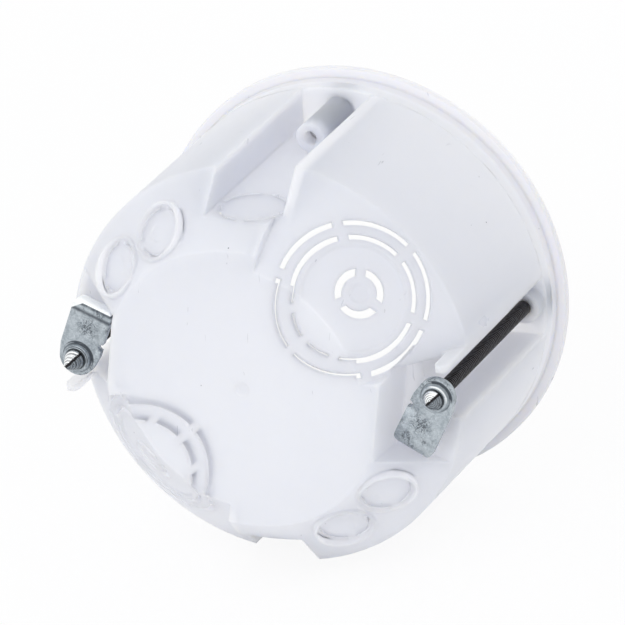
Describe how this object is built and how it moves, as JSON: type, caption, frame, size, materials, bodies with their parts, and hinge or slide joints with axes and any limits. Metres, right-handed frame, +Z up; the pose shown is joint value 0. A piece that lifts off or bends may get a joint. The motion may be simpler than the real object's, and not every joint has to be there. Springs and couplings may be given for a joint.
{
  "type": "drywall back box",
  "caption": "Round hollow-wall back box of translucent plastic with a thin flange, conduit and cable knock-outs, folding screw claws and screws for a wiring device.",
  "frame": {"origin": "on the axis of the round collar, in the plane of the flange's rear face, which bears on the front of the board", "axes": "+Y runs along the collar's axis into the wall towards the box's back, +Z is up, +X is to the right as seen from the room; the claws are at -X and +X and the device screws at -Z and +Z"},
  "size_m": [0.071, 0.0504, 0.071],
  "materials": {
    "natural_plastic": "translucent, satin, with a few dark specks",
    "zinc_plated_steel": "stamped and zinc plated, dull and slightly stained",
    "dark_steel": "blackened, half dull"
  },
  "bodies": {
    "box": {"box_body": "natural_plastic"},
    "left_wall_screw": {"claw_screw_left": "dark_steel"},
    "right_wall_screw": {"claw_screw_right": "dark_steel"},
    "left_claw": {"claw_left": "zinc_plated_steel"},
    "right_claw": {"claw_right": "zinc_plated_steel"},
    "top_device_screw": {"device_screw_top": "dark_steel"},
    "bottom_device_screw": {"device_screw_bottom": "dark_steel"}
  },
  "joints": [
    {"name": "left_wall_screw_turn", "type": "hinge", "parent": "box", "child": "left_wall_screw", "pos_m": [-0.0309, 0, 0], "axis": [0, 1, 0], "continuous": true},
    {"name": "right_wall_screw_turn", "type": "hinge", "parent": "box", "child": "right_wall_screw", "pos_m": [0.0309, 0, 0], "axis": [0, 1, 0], "continuous": true},
    {"name": "left_claw_swing", "type": "hinge", "parent": "box", "child": "left_claw", "pos_m": [-0.0309, 0.0426, 0], "axis": [0, 1, 0], "range_deg": [0, 118]},
    {"name": "right_claw_swing", "type": "hinge", "parent": "box", "child": "right_claw", "pos_m": [0.0309, 0.0426, 0], "axis": [0, 1, 0], "range_deg": [0, 112]},
    {"name": "top_device_screw_turn", "type": "hinge", "parent": "box", "child": "top_device_screw", "pos_m": [0, 0, 0.03], "axis": [0, 1, 0], "continuous": true},
    {"name": "bottom_device_screw_turn", "type": "hinge", "parent": "box", "child": "bottom_device_screw", "pos_m": [0, 0, -0.03], "axis": [0, 1, 0], "continuous": true}
  ]
}
